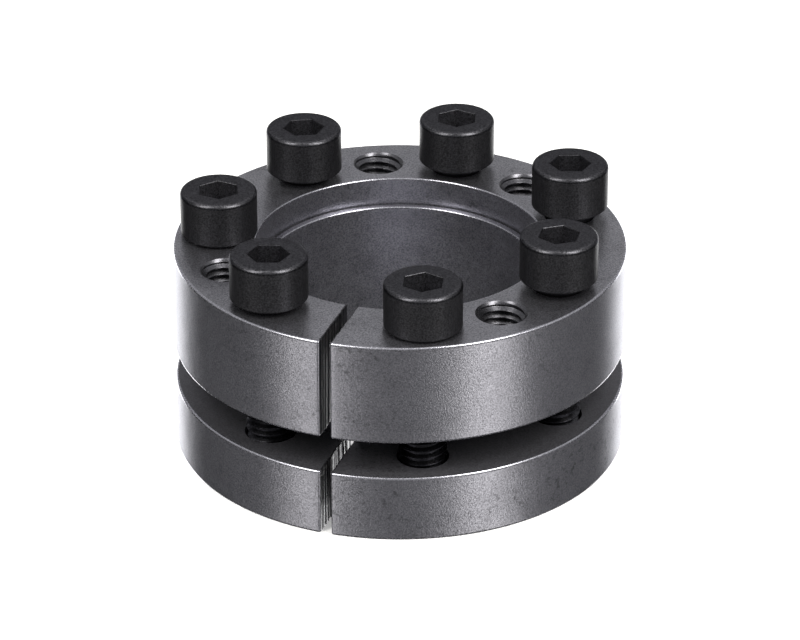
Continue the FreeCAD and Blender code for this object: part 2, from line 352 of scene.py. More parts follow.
def levels(ends, sizes, corners=()):
    """Heights for a wall's loops: its ends, its corners and the steps over its broken edges."""
    bottom, top = ends
    heights = {bottom, top, *corners}
    for low_size, high_size in sizes:
        heights |= {bottom + share * low_size for share in EDGE_SHARES}
        heights |= {top - share * high_size for share in EDGE_SHARES}
    return sorted({round(height, HEIGHT_DIGITS) for height in heights})


def broken(height, ends, sizes):
    """How far a wall stands back at a height for the broken edges at its two ends."""
    return step_back(height - ends[0], sizes[0]) + step_back(ends[1] - height, sizes[1])


print("a 0.4 mm edge, 0.1 mm down, stands back", round(step_back(0.1, 0.4), 3), "mm")

# %% [markdown]
# The walls of a ring are its outline at all those levels. The inside radius is a function of
# height, so a taper, a step or a straight bore are all the same kind of wall, and one function
# makes all three rings. Shading stays sharp where a broken edge ends, so that its highlight
# doesn't smear over the wide wall.

# %% Ring walls
SLIT_EDGE = 0.2 * MM
SAME_HEIGHT = 2e-9


def ring_walls(shell, ring):
    """Walls of a split ring. Returns the outlines of its lower and its upper face."""
    bottom, top = ring["ends"]
    edges = {"ground": ring["outer_edges"], "bored": ring["inner_edges"]}
    edges["sawn"] = (SLIT_EDGE, SLIT_EDGE)
    heights = levels(ring["ends"], edges.values(), ring["corners"])
    loops = []
    for height in heights:
        outline, sides = split_outline(
            ring["outer"](height) - broken(height, ring["ends"], edges["ground"]),
            ring["inner"](height) + broken(height, ring["ends"], edges["bored"]),
            SLIT_HALF + broken(height, ring["ends"], edges["sawn"]),
            ring["slit"],
        )
        loops.append(shell.loop([(x, y, height) for x, y in outline]))
        ends_here = {
            side
            for side, (low_size, high_size) in edges.items()
            if abs(height - bottom - low_size) < SAME_HEIGHT
            or abs(top - high_size - height) < SAME_HEIGHT
        }
        if any(abs(height - corner) < SAME_HEIGHT for corner in ring["corners"]):
            ends_here |= {"ground", "bored"}
        shell.crease(loops[-1], [side in ends_here for side in sides])
    for row in range(len(heights) - 1):
        middle = (heights[row] + heights[row + 1]) / 2
        rounded = {s for s in ("ground", "bored") if broken(middle, ring["ends"], edges[s])}
        looks = {**ring["looks"], **dict.fromkeys(rounded, "edge")}
        finish = [looks.get(side, side) for side in sides]
        shell.bridge(loops[row], loops[row + 1], finish)
    return loops[0], loops[-1]


slit_levels = levels((rear_low.z, rear_high.z), [(SLIT_EDGE, SLIT_EDGE)])
print("the rear ring's slit alone needs", len(slit_levels), "levels")

# %% [markdown]
# Cut along its axis, a metric thread shows a row of ridges: flanks 60 degrees apart, a flat
# crest and a flat root. The profile lists one of them over one pitch, as pairs of a phase and a
# height. More pairs would round it further, but one step at each foot and at each edge of the
# crest is enough for a soft highlight.

# %% Thread profile
PROFILE = (
    (0.0, 0.0), (0.11, 0.0), (0.16, 0.1), (0.4, 0.92), (0.44, 1.0),
    (0.56, 1.0), (0.6, 0.92), (0.84, 0.1), (0.89, 0.0),
)  # fmt: skip
PROFILE_PHASES = [phase for phase, _ in PROFILE] + [1.0]
PROFILE_HEIGHTS = [height for _, height in PROFILE] + [0.0]


def thread_ridge(phase):
    """Height of a 60 degree thread across one pitch, 0 in the root and 1 on the crest."""
    return float(np.interp(phase % 1.0, PROFILE_PHASES, PROFILE_HEIGHTS))


print("ridge at a quarter of the pitch:", round(thread_ridge(0.25), 3))

# %% [markdown]
# A thread is a wall whose radius depends on height and direction together. The Screw modifier
# can sweep a profile along a helix, but it leaves two ragged ends. Here the rows of the mesh
# follow the helix, so the crest is one clean line, and points past either end are pressed flat
# against it, as a real thread is cut off by the face of the part.

# %% Thread wall
THREAD_PITCH = 1.25 * MM
THREAD_COLUMNS = 48


def thread_wall(shell, centre, ends, radius_at, finish, into_hole):
    """Helical wall between two heights. Returns its lower and its upper loop."""
    bottom, top = ends
    spin = -1 if into_hole else 1
    rows_in_turn = len(PROFILE)
    made = {}

    def corner(column, row):
        """Point of a column on a row of the helix; a full turn of columns is a turn of rows."""
        share = spin * (column % THREAD_COLUMNS) / THREAD_COLUMNS
        row += spin * rows_in_turn * (column // THREAD_COLUMNS)
        turns, part = divmod(row, rows_in_turn)
        height = bottom + THREAD_PITCH * (turns + PROFILE[part][0] + share)
        place = "bottom" if height <= bottom else "top" if height >= top else row
        height = min(max(height, bottom), top)
        key = (column % THREAD_COLUMNS, place)
        if key not in made:
            radius = radius_at(height, (height - bottom) / THREAD_PITCH - share)
            x = centre[0] + radius * math.cos(share * TURN)
            y = centre[1] + radius * math.sin(share * TURN)
            made[key] = shell.loop([(x, y, height)])[0]
        return made[key]

    last_row = (math.ceil((top - bottom) / THREAD_PITCH) + 1) * rows_in_turn
    for row in range(-rows_in_turn, last_row):
        for column in range(THREAD_COLUMNS):
            low = corner(column, row), corner(column + 1, row)
            high = corner(column + 1, row + 1), corner(column, row + 1)
            shell.face(low + high, finish)
    lower = [made[column, "bottom"] for column in range(THREAD_COLUMNS)]
    upper = [made[column, "top"] for column in range(THREAD_COLUMNS)]
    return lower, upper


print("a pitch has", len(PROFILE), "rows of", THREAD_COLUMNS, "points")

# %% [markdown]
# Seven holes go through the rear ring and eleven through the front one. A boolean would cut
# them, but it leaves sharp mouths. Here a plain hole is a stack of circles with the same broken
# edges as a wall. They run clockwise, so that their faces look into the hole.

# %% Plain holes
HOLE_RADIUS = TAP_RADIUS + 0.2 * MM
HOLE_STEPS = 64
HOLE_EDGE = 0.12 * MM


def circle(radius, height, steps, centre=(0.0, 0.0), spin=1):
    """Points of a circle, as one loop."""
    angles = [spin * TURN * i / steps for i in range(steps)]
    return [
        (centre[0] + radius * math.cos(a), centre[1] + radius * math.sin(a), height)
        for a in angles
    ]


def plain_hole(shell, centre, ends):
    """Clearance hole with broken edges. Returns its lower and its upper mouth."""
    sizes = (HOLE_EDGE, HOLE_EDGE)
    loops = []
    for height in levels(ends, [sizes]):
        radius = HOLE_RADIUS + broken(height, ends, sizes)
        loops.append(shell.loop(circle(radius, height, HOLE_STEPS, centre, spin=-1)))
    for low, high in zip(loops, loops[1:], strict=False):
        shell.bridge(low, high, "bored")
    return loops[0], loops[-1]


print("clearance holes", round(2 * HOLE_RADIUS / MM, 2), "mm across")

# %% [markdown]
# A tapped hole is countersunk at both ends, wider above than below. We could add the cones as
# walls of their own, but a thread that runs out into a cone has no clean border. Here both are
# one wall: wherever the cone is wider than the thread, the cone is what is left.

# %% Tapped holes
MOUTH_DEPTH = 0.3 * MM
BACK_MOUTH = 0.15 * MM


def tapped_hole(shell, centre, ends, crest, root):
    """Threaded hole, countersunk at both ends. Returns its lower and its upper mouth."""
    bottom, top = ends

    def radius_at(height, phase):
        """Radius of the thread, or of a countersink where that is wider."""
        cone = TAP_RADIUS + MOUTH_DEPTH - (top - height)
        back_cone = TAP_RADIUS + BACK_MOUTH - (height - bottom)
        return max(root - (root - crest) * thread_ridge(phase), cone, back_cone)

    return thread_wall(shell, centre, ends, radius_at, "thread", into_hole=True)


print("tapped holes", round(2 * TAP_RADIUS / MM, 2), "mm across")

# %% [markdown]
# A finish is a Principled shader fed by noises. In the shader editor we would drag the nodes in
# and link them by hand. Every finish here needs the same few, so a small class adds them: each
# method makes one kind of node and hands on its output. The noises are read in the piece's own
# coordinates, which need no UV map and show no seam. A Mix node keeps its colour sockets behind
# those for numbers, so we name their places first.

# %% Finish nodes
COLOUR_MIX_A, COLOUR_MIX_B, COLOUR_MIX_OUT = 6, 7, 2


class Finish:
    """A steel or oxide finish: a Principled shader fed by noises in object coordinates."""

    def __init__(self, name):
        self.material = bpy.data.materials.new(name)
        self.material.use_nodes = True
        self.tree = self.material.node_tree
        self.shader = self.tree.nodes["Principled BSDF"]
        self.place = self.node("ShaderNodeTexCoord").outputs["Object"]

    def node(self, kind, **values):
        """Add a node and set its inputs by name: from_min stands for From Min."""
        made = self.tree.nodes.new(kind)
        for name, value in values.items():
            made.inputs[name.replace("_", " ").title()].default_value = value
        return made

    def link(self, source, target):
        """Link an output to an input."""
        self.tree.links.new(source, target)

    def noise(self, size, detail=2.0, roughness=0.55):
        """Noise with features of this size in metres."""
        made = self.node("ShaderNodeTexNoise", scale=1 / size, detail=detail)
        made.inputs["Roughness"].default_value = roughness
        self.link(self.place, made.inputs["Vector"])
        return made.outputs["Fac"]

    def between(self, source, low, high, to_low, to_high):
        """The source's stretch from low to high, mapped to another stretch."""
        made = self.node(
            "ShaderNodeMapRange", from_min=low, from_max=high, to_min=to_low, to_max=to_high
        )
        self.link(source, made.inputs["Value"])
        return made.outputs["Result"]

    def product(self, first, second):
        """Two outputs multiplied."""
        made = self.tree.nodes.new("ShaderNodeMath")
        made.operation = "MULTIPLY"
        self.link(first, made.inputs[0])
        self.link(second, made.inputs[1])
        return made.outputs["Value"]

    def mixed(self, factor, first, second):
        """Colour between two colours; each is a constant or another node's output."""
        made = self.tree.nodes.new("ShaderNodeMix")
        made.data_type = "RGBA"
        self.link(factor, made.inputs["Factor"])
        for number, colour in ((COLOUR_MIX_A, first), (COLOUR_MIX_B, second)):
            if isinstance(colour, tuple):
                made.inputs[number].default_value = colour
            else:
                self.link(colour, made.inputs[number])
        return made.outputs[COLOUR_MIX_OUT]


print("tools of a finish:", [name for name in vars(Finish) if not name.startswith("_")])

# %% [markdown]
# Steel and oxide both carry one grain that does three things at once: where it is high, the
# surface is lighter, a little rougher and raised. Three noises would be freer to set, but then
# colour and relief would have nothing to do with each other, as in paint. Marks of turning and
# grinding run round a wall and spread its gloss across them. An anisotropic gloss does that,
# given a tangent that runs round the shaft.

# %% Grain, gloss and relief
STEEL_TINT = (1.0, 0.995, 1.11)
GRAIN_SIZE = 0.26 * MM
GRAIN_RANGE = (0.3, 0.7)
UPRIGHT = 0.25


def grey(level):
    """Colour of this reflectance, a little bluish as bare steel is."""
    return (*(level * share for share in STEEL_TINT), 1.0)


def grained(made, grain, level, contrast):
    """Grey that the grain varies by this share about its level."""
    share = made.between(grain, *GRAIN_RANGE, 0.0, 1.0)
    return made.mixed(share, grey(level * (1 - contrast)), grey(level * (1 + contrast)))


def raise_relief(made, height, depth):
    """Bump from a height between 0 and 1, this deep in metres."""
    bump = made.node("ShaderNodeBump", strength=1.0, distance=depth)
    made.link(height, bump.inputs["Height"])
    made.link(bump.outputs["Normal"], made.shader.inputs["Normal"])


def stretch_gloss(made, amount):
    """Draw the gloss out upright, across the turning marks of a round wall."""
    made.shader.inputs["Anisotropic"].default_value = amount
    made.shader.inputs["Anisotropic Rotation"].default_value = UPRIGHT
    tangent = made.node("ShaderNodeTangent")
    tangent.direction_type = "RADIAL"
    tangent.axis = "Z"
    made.link(tangent.outputs["Tangent"], made.shader.inputs["Tangent"])


def surface(made, colour, grain, gloss, relief, stretch):
    """Link colour, gloss and relief; gloss is a roughness and how far the grain varies it."""
    made.link(colour, made.shader.inputs["Base Color"])
    roughness, spread = gloss
    low, high = roughness * (1 - spread), roughness * (1 + spread)
    made.link(made.between(grain, *GRAIN_RANGE, low, high), made.shader.inputs["Roughness"])
    raise_relief(made, grain, relief * MM)
    if stretch:
        stretch_gloss(made, stretch)
    return made.material


print("bare steel of reflectance 0.3:", [round(share, 3) for share in grey(0.3)])

# %% [markdown]
# Steel comes off the machine with a grain: tiny pits and grains about a quarter of a millimetre
# across, that sparkle at the rim of a reflection. A photograph wrapped round the ring could show
# them, but noise nodes stay sharp at any distance and give relief as well. Every steel finish
# has the same layers: grain for colour, gloss and relief, soft clouds of oil and handling, and
# a few dark specks in clusters. The ground outside also gets an anisotropic gloss across its
# grinding marks, which draws the studio lights out into upright bands.

# %% Steel finishes
CLOUD_SIZE = 6 * MM
SPECK_SIZE = 0.9 * MM
CLUSTER_SIZE = 12 * MM
CLOUD_RANGE = (0.45, 0.75)
SPECK_RANGE = (0.56, 0.62)
CLUSTER_RANGE = (0.5, 0.62)
CLOUD_SHADE = 0.3
SPECK_SHADE = 0.2
STEEL_SPREAD = 0.12


def steel(
    name, level, roughness, relief=0.02, contrast=0.3, clouds=0.2, specks=0.45, stretch=0.0, metal=0.95
):
    """Bare steel. The level is its reflectance, relief the depth of its grain in mm."""
    made = Finish(name)
    made.shader.inputs["Metallic"].default_value = metal
    grain = made.noise(GRAIN_SIZE)
    colour = grained(made, grain, level, contrast)
    cloud = made.between(made.noise(CLOUD_SIZE, detail=4.0), *CLOUD_RANGE, 0.0, clouds)
    colour = made.mixed(cloud, colour, grey(level * CLOUD_SHADE))
    cluster = made.between(made.noise(CLUSTER_SIZE, detail=3.0), *CLUSTER_RANGE, 0.0, specks)
    speck_noise = made.noise(SPECK_SIZE, detail=6.0, roughness=0.6)
    speck = made.between(speck_noise, *SPECK_RANGE, 0.0, 1.0)
    colour = made.mixed(made.product(speck, cluster), colour, grey(level * SPECK_SHADE))
    return surface(made, colour, grain, (roughness, STEEL_SPREAD), relief, stretch)


RING_FINISHES = {
    "ground": steel("ground_steel", 0.28, 0.45, relief=0.045, stretch=1.0),
    "faced": steel("faced_steel", 0.285, 0.32, contrast=0.5),
    # painted shade: the faces that meet in the gap between the rings have half the faced steel's level
    "hidden": steel("hidden_face_steel", 0.135, 0.55, metal=0.9),
    "bored": steel("bored_steel", 0.29, 0.38, relief=0.01, contrast=0.4, clouds=0.4),
    # painted shade: the inner ring's outside, seen only in the gap, is darker than the ground wall
    "tapered": steel("tapered_steel_painted_shade", 0.12, 0.4),
    # painted shade: the slit walls are far darker than the other steel, for the shade in the slit
    "sawn": steel("sawn_steel_painted_shade", 0.055, 0.36, relief=0.01, metal=0.88),
    "edge": steel("broken_edge_steel", 0.37, 0.26, relief=0.008, clouds=0.0, specks=0.0),
    # painted shade: the tapped threads and their countersinks are darker than the faces round them
    "thread": steel("cut_thread_steel_painted_shade", 0.11, 0.3, relief=0.002, specks=0.0),
}
print("ring finishes:", ", ".join(RING_FINISHES))

# %% [markdown]
# The screws are blackened: a thin oxide that is nearly matt, with a little shine where the head
# was rounded. We could darken the steel's colour alone, but then the screws would still mirror
# the room like steel. So the oxide is a finish of its own: the same grain, very dark, and a grey
# specular tint that holds back what it mirrors at a flat angle. Its level is set by place, which
# paints light and shade: the top, the rounding and the socket are lighter, the side is darker,
# and the shank under the head is darkest.

# %% Oxide finishes
OXIDE_TINT = (0.4, 0.4, 0.4, 1.0)
OXIDE_CONTRAST = 0.5
OXIDE_SPREAD = 0.1


def oxide(name, level, roughness, relief=0.01, stretch=0.0, metal=1.0):
    """Black oxide on steel, with the same measures as bare steel."""
    made = Finish(name)
    made.shader.inputs["Metallic"].default_value = metal
    made.shader.inputs["Specular Tint"].default_value = OXIDE_TINT
    grain = made.noise(GRAIN_SIZE)
    colour = grained(made, grain, level, OXIDE_CONTRAST)
    return surface(made, colour, grain, (roughness, OXIDE_SPREAD), relief, stretch)


# painted light and shade: one oxide at several levels, lighter on the top, rounding and socket, dark
# on the side and darkest on the shank
SCREW_FINISHES = {
    "head": oxide("black_oxide_head_painted_shade", 0.027, 0.45, relief=0.016, stretch=0.7, metal=0.7),
    "round": oxide("black_oxide_rounding_painted_highlight", 0.055, 0.33, relief=0.014),
    "top": oxide("black_oxide_top_painted_light", 0.082, 0.4, relief=0.018),
    "rim": oxide("black_oxide_rim", 0.05, 0.34, relief=0.004),
    "socket": oxide("black_oxide_socket_painted_light", 0.12, 0.42),
    "thread": oxide("black_oxide_thread", 0.07, 0.24, relief=0.002),
    "shank": oxide("black_oxide_shank_painted_shade", 0.02, 0.6),
}
print("screw finishes:", ", ".join(SCREW_FINISHES))

# %% [markdown]
# A shell becomes a mesh with one material slot for each finish. Its flat faces are shaded flat,
# edges steeper than 35 degrees stay sharp, and so do the creases that we marked. The object of
# a piece stays at the origin, and its mesh is listed in the place where it stands, so no two
# pieces wear the same grain.

# %% Shell to piece
SHARP_ANGLE = math.radians(35)


def mesh_from(shell, name, finishes):
    """Mesh of a shell, its faces linked to materials by finish."""
    mesh = bpy.data.meshes.new(name)
    mesh.from_pydata(shell.points, [], shell.faces)
    for material in finishes.values():
        mesh.materials.append(material)
    order = list(finishes)
    mesh.polygons.foreach_set("material_index", [order.index(f) for f in shell.finish])
    mesh.polygons.foreach_set("use_smooth", [not flat for flat in shell.flat])
    mesh.set_sharp_from_angle(angle=SHARP_ANGLE)
    sharp = mesh.attributes.get("sharp_edge")
    if sharp is None:
        sharp = mesh.attributes.new("sharp_edge", "BOOLEAN", "EDGE")
    for edge in mesh.edges:
        if frozenset(edge.vertices) in shell.creases:
            sharp.data[edge.index].value = True
    if mesh.validate(verbose=True):
        print(name, "had faces to repair")
    return mesh


def place_piece(mesh, node):
    """Add the object that stands for a CAD node and rides on its body."""
    piece = bpy.data.objects.new(f"{node}_finished", mesh)
    bpy.context.scene.collection.objects.link(piece)
    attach(piece, frame["nodes"][node]["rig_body"])
    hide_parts(node)
    triangles = sum(len(polygon.vertices) - 2 for polygon in mesh.polygons)
    print(f"{piece.name}: {len(mesh.vertices)} points, {triangles} triangles")


def place_ring(shell, node):
    """Add the piece of a ring's shell."""
    place_piece(mesh_from(shell, node, RING_FINISHES), node)


print("edges steeper than", round(math.degrees(SHARP_ANGLE)), "degrees stay sharp")

# %% [markdown]
# The rear ring lies lowest: a plain split ring whose tapered bore pulls the inner ring tight,
# tapped for the seven screws. Its threads stand just outside the screws, because the screws
# slide through them when a pose moves the rings. The ring is a table of its heights, radii and
# edges, which `ring_walls` reads, then its holes, then two flat faces round their mouths.

# %% Rear outer ring
OUTER_EDGE = 0.4 * MM
SHARP_EDGE = 0.1 * MM
SCREW_THREAD_ROOT = TAP_RADIUS + 0.3 * MM

rear_shell = Shell()
rear_ring = {
    "ends": (rear_low.z, rear_high.z),
    "outer": lambda height: OUTER_RADIUS,
    "inner": outer_bore,
    "outer_edges": (OUTER_EDGE, OUTER_EDGE),
    "inner_edges": (SHARP_EDGE, SHARP_EDGE),
    "corners": (),
    "slit": thick_slit,
    "looks": {},
}
rear_floor, rear_face = ring_walls(rear_shell, rear_ring)
mouths = [
    tapped_hole(rear_shell, tip.xy, rear_ring["ends"], TAP_RADIUS, SCREW_THREAD_ROOT)
    for tip in SCREW_TIPS.values()
]
flat_face(rear_shell, rear_floor, [low for low, _ in mouths], "faced", up=False)
# The rear ring's upper face lies in the gap, so its darker steel is painted shade.
flat_face(rear_shell, rear_face, [high for _, high in mouths], "hidden", up=True)
place_ring(rear_shell, "rear_outer_ring")

# %% [markdown]
# The front ring is thicker. The screws pass through seven clearance holes, and four more holes
# between them are tapped, so that screws moved over to them push the rings apart again. A bump
# map can fake a thread that is seen from the side, but the camera looks right into one of these,
# so they are cut to their true depth.

# %% Front outer ring
TAP_CREST = 3.35 * MM
RECESS_EDGE = 0.3 * MM
recess_start = inner_high.z - (RECESS_PLAY - TAPER_PLAY) / TAPER

front_shell = Shell()
front_ring = {
    "ends": (front_low.z, front_high.z),
    "outer": lambda height: OUTER_RADIUS,
    "inner": outer_bore,
    "outer_edges": (OUTER_EDGE, OUTER_EDGE),
    "inner_edges": (SHARP_EDGE, RECESS_EDGE),
    "corners": (recess_start,),
    "slit": {**thick_slit, "seed": 23},
    "looks": {},
}
front_floor, front_face = ring_walls(front_shell, front_ring)
mouths = [plain_hole(front_shell, tip.xy, front_ring["ends"]) for tip in SCREW_TIPS.values()]
mouths += [
    tapped_hole(front_shell, centre, front_ring["ends"], TAP_CREST, TAP_RADIUS)
    for centre in TAP_CENTRES
]
# The front ring's lower face lies in the gap, so its darker steel is painted shade.
flat_face(front_shell, front_floor, [low for low, _ in mouths], "hidden", up=False)
flat_face(front_shell, front_face, [high for _, high in mouths], "faced", up=True)
place_ring(front_shell, "front_outer_ring")

# %% [markdown]
# The inner ring is the thin sleeve that grips the shaft. Its outside follows the two tapers,
# and its bore is rounded more at each end, to find the shaft. It is the same kind of split ring
# without holes, so another table is enough. Only its outside looks different: "tapered" takes
# the place of "ground". It is turned, not ground, so its gloss is not drawn out, and its steel
# is darker than the rest, which paints the shade deep in the gap where the taper shows.

# %% Inner ring
BORE_EDGE = 0.3 * MM
SLEEVE_EDGE = 0.18 * MM

inner_shell = Shell()
sleeve = {
    "ends": (inner_low.z, inner_high.z),
    "outer": taper_radius,
    "inner": lambda height: BORE_RADIUS,
    "outer_edges": (SLEEVE_EDGE, SLEEVE_EDGE),
    "inner_edges": (BORE_EDGE, BORE_EDGE),
    "corners": (crest_low, crest_high),
    "slit": {"corner": 0.12 * MM, "steps": 6, "seed": 37},
    "looks": {"ground": "tapered"},
}
sleeve_floor, sleeve_face = ring_walls(inner_shell, sleeve)
flat_face(inner_shell, sleeve_floor, [], "faced", up=False)
flat_face(inner_shell, sleeve_face, [], "faced", up=True)
place_ring(inner_shell, "inner_ring")

# %% [markdown]
# A socket head screw is turned about its own axis, so its shell starts at the tip, with its
# origin there. The thread is rolled: it runs up to the plain part of the shank and fades out
# over one pitch, which a function of height gives us for nothing. The shank ends a hundredth of
# a millimetre high, so that a screw driven home doesn't share a face with the ring.

# %% Screw shank
SHANK_RADIUS = TAP_RADIUS - 0.05 * MM
THREAD_ROOT = 3.27 * MM
TIP_CHAMFER = 1.0 * MM
THREAD_LENGTH = 26 * MM
SCREW_LENGTH = 30 * MM
SEAT_PLAY = 0.01 * MM


def screw_radius(height, phase):
    """Radius of the screw's thread, cut back by the tip's cone and faded out at its end."""
    fade = min(max((THREAD_LENGTH - height) / THREAD_PITCH, 0.0), 1.0)
    thread = SHANK_RADIUS - (SHANK_RADIUS - THREAD_ROOT) * fade * (1 - thread_ridge(phase))
    return min(thread, SHANK_RADIUS - TIP_CHAMFER + height)


screw_shell = Shell()
thread_ends = (0.0, THREAD_LENGTH)
tip_loop, shank_loop = thread_wall(
    screw_shell, (0.0, 0.0), thread_ends, screw_radius, "thread", into_hole=False
)
flat_face(screw_shell, tip_loop, [], "thread", up=False)
seat_loop = screw_shell.loop(circle(SHANK_RADIUS, SCREW_LENGTH + SEAT_PLAY, THREAD_COLUMNS))
screw_shell.bridge(shank_loop, seat_loop, "shank")
print("shank:", len(screw_shell.faces), "faces")

# %% [markdown]
# The head stands on the shank: a flat underside, a small chamfer, a side with a fine straight
# knurl that stops short of both ends, and a rounded upper edge. The photograph shows the knurl
# only as faint upright lines, so it is shallow. A bump map would leave the outline smooth, so
# the radius of each loop dips at its 72 grooves. The last few loops of the rounding get the
# finish of the top, which leaves the bright line low on it, as in the photograph.

# %% Screw head
KNURLS = 72
HEAD_COLUMNS = 4 * KNURLS
KNURL_SHAPE = (0.0, 0.5, 1.0, 0.5)
KNURL_DEPTH = 0.018 * MM
KNURL_LOW = SCREW_LENGTH + 0.8 * MM
KNURL_HIGH = SCREW_TOP - 2.8 * MM
KNURL_FADE = 0.3 * MM
UNDER_EDGE = 0.4 * MM
HEAD_ROUND = 0.75 * MM
ROUND_STEPS = 13
TOP_STEPS = 6


def head_loop(radius, height, knurl=0.0):
    """Circle of the head's side, its radius dipping with the knurl."""
    points = []
    for i in range(HEAD_COLUMNS):
        here = radius - knurl * KNURL_DEPTH * KNURL_SHAPE[i % len(KNURL_SHAPE)]
        angle = TURN * i / HEAD_COLUMNS
        points.append((here * math.cos(angle), here * math.sin(angle), height))
    return screw_shell.loop(points)


under_loop = head_loop(HEAD_RADIUS - UNDER_EDGE, SCREW_LENGTH + SEAT_PLAY)
flat_face(screw_shell, under_loop, [seat_loop], "head", up=False)
head_loops = [under_loop, head_loop(HEAD_RADIUS, SCREW_LENGTH + UNDER_EDGE)]
screw_shell.crease(head_loops[-1])
for height, knurl in (
    (KNURL_LOW, 0.0),
    (KNURL_LOW + KNURL_FADE, 1.0),
    (KNURL_HIGH - KNURL_FADE, 1.0),
    (KNURL_HIGH, 0.0),
):
    head_loops.append(head_loop(HEAD_RADIUS, height, knurl))
side_loops = len(head_loops)
for turn in np.linspace(0, TURN / 4, ROUND_STEPS):
    radius = HEAD_RADIUS - HEAD_ROUND * (1 - math.cos(turn))
    head_loops.append(head_loop(radius, SCREW_TOP - HEAD_ROUND * (1 - math.sin(turn))))
top_loops = len(head_loops) - TOP_STEPS
for number, (low, high) in enumerate(zip(head_loops, head_loops[1:], strict=False)):
    finish = "head" if number < side_loops else "round" if number < top_loops else "top"
    screw_shell.bridge(low, high, finish)
print("head:", len(head_loops), "loops of", HEAD_COLUMNS, "points")

# %% [markdown]
# The socket is broached: six flat walls whose upper edges are a little rounded, and below them
# the cone of the pilot drill. A boolean with a six-sided prism would cut it, but its mouth would
# be hard to round. A hexagon with as many points as the head's loops bridges to them directly,
# and the rounding is three more hexagons, each lower and narrower.

# %% Hexagon socket
SOCKET_FLAT = 3.0 * MM
SOCKET_DEPTH = 4.2 * MM
SOCKET_EDGE = 0.15 * MM
MOUTH_STEPS = 4
DRILL_SLOPE = math.tan(math.radians(30))
SIXTH = TURN / 6


def hexagon_loop(flat, depth):
    """Loop of a hexagon, a corner at angle zero, at a depth below the head's top."""
    points = []
    for i in range(HEAD_COLUMNS):
        angle = TURN * i / HEAD_COLUMNS
        radius = flat / math.cos(angle % SIXTH - SIXTH / 2)
        points.append((radius * math.cos(angle), radius * math.sin(angle), SCREW_TOP - depth))
    return screw_shell.loop(points)


mouth_loops = []
for turn in np.linspace(0, TURN / 4, MOUTH_STEPS):
    depth = SOCKET_EDGE * (1 - math.cos(turn))
    mouth_loops.append(hexagon_loop(SOCKET_FLAT + step_back(depth, SOCKET_EDGE), depth))
screw_shell.bridge(head_loops[-1], mouth_loops[0], "top")
for high, low in zip(mouth_loops, mouth_loops[1:], strict=False):
    screw_shell.bridge(high, low, "rim")
wall_foot = hexagon_loop(SOCKET_FLAT, SOCKET_DEPTH)
screw_shell.bridge(mouth_loops[-1], wall_foot, "socket")
drill_rim = screw_shell.loop(circle(SOCKET_FLAT, SCREW_TOP - SOCKET_DEPTH, HEAD_COLUMNS))
screw_shell.bridge(wall_foot, drill_rim, "socket")
drill_tip = SCREW_TOP - SOCKET_DEPTH - SOCKET_FLAT * DRILL_SLOPE
apex = screw_shell.loop([(0.0, 0.0, drill_tip)])
screw_shell.bridge(drill_rim, apex * HEAD_COLUMNS, "socket")
for loop in (mouth_loops[0], mouth_loops[-1], wall_foot, drill_rim):
    screw_shell.crease(loop)
print("screw:", len(screw_shell.faces), "faces")

# %% [markdown]
# Seven screws share that shape. Seven objects could share one mesh and be moved about, but then
# they would share one grain too, so each gets a copy that is turned and moved point by point.
# Nobody lines up the sockets of real screws. Each is turned as its node in the frame is, where
# the socket's corner nearest to +X gives the degrees.

# %% Seven screws
SOCKET_TURNS = (43.7, 35.7, 19.7, 47.2, 26.7, 51.7, 18.7)
screw_mesh = mesh_from(screw_shell, "clamp_screw", SCREW_FINISHES)
for (node, tip), degrees in zip(SCREW_TIPS.items(), SOCKET_TURNS, strict=True):
    mesh = screw_mesh.copy()
    mesh.transform(Matrix.Translation(tip) @ Matrix.Rotation(math.radians(degrees), 4, "Z"))
    place_piece(mesh, node)
bpy.data.meshes.remove(screw_mesh)

# %% [markdown]
# The camera stands where the photograph was taken from: 19 degrees to the right of the slit and
# 28 degrees up. We could drag it about until the picture looks right, but the rims of the rings
# are circles, and each shows as an ellipse that fixes the view. The place and the long lens were
# found by fitting them all.

# %% Camera
CAMERA_PLACE = Vector((0.21342, -0.63053, 0.37041))
CAMERA_AIM = Vector((0.0, 0.0, 0.02053))
LENS = 202.77
SENSOR = 36.0
NEAREST = 0.01

camera_data = bpy.data.cameras.new("camera")
camera_data.lens = LENS
camera_data.sensor_width = SENSOR
camera_data.clip_start = NEAREST
camera = bpy.data.objects.new("camera", camera_data)
bpy.context.scene.collection.objects.link(camera)
camera.location = CAMERA_PLACE
camera.rotation_euler = (CAMERA_AIM - CAMERA_PLACE).to_track_quat("-Z", "Y").to_euler()
bpy.context.scene.camera = camera
CAMERA_DIRECTION = math.atan2(CAMERA_PLACE.y, CAMERA_PLACE.x)
print("camera", round((CAMERA_PLACE - CAMERA_AIM).length, 3), "m away")

# %% [markdown]
# The photograph is a cut-out on white, and a pale floor stands in for the white. It is as matt
# as paper and glows a little, so that it stays white under the rings too. The steel doesn't
# mirror it, because the room below does that job, and it lies a hair under the rear ring, so
# that the two don't fight for the same plane.

# %% Floor
FLOOR_REACH = 3.0
FLOOR_DROP = 0.02 * MM
FLOOR_CORNERS = ((-1, -1), (1, -1), (1, 1), (-1, 1))
FLOOR_PAINT = {
    "Base Color": (0.9, 0.9, 0.9, 1.0),
    "Roughness": 0.8,
    "Specular IOR Level": 0.2,
    "Emission Color": (1.0, 1.0, 1.0, 1.0),
    "Emission Strength": 0.3,
}

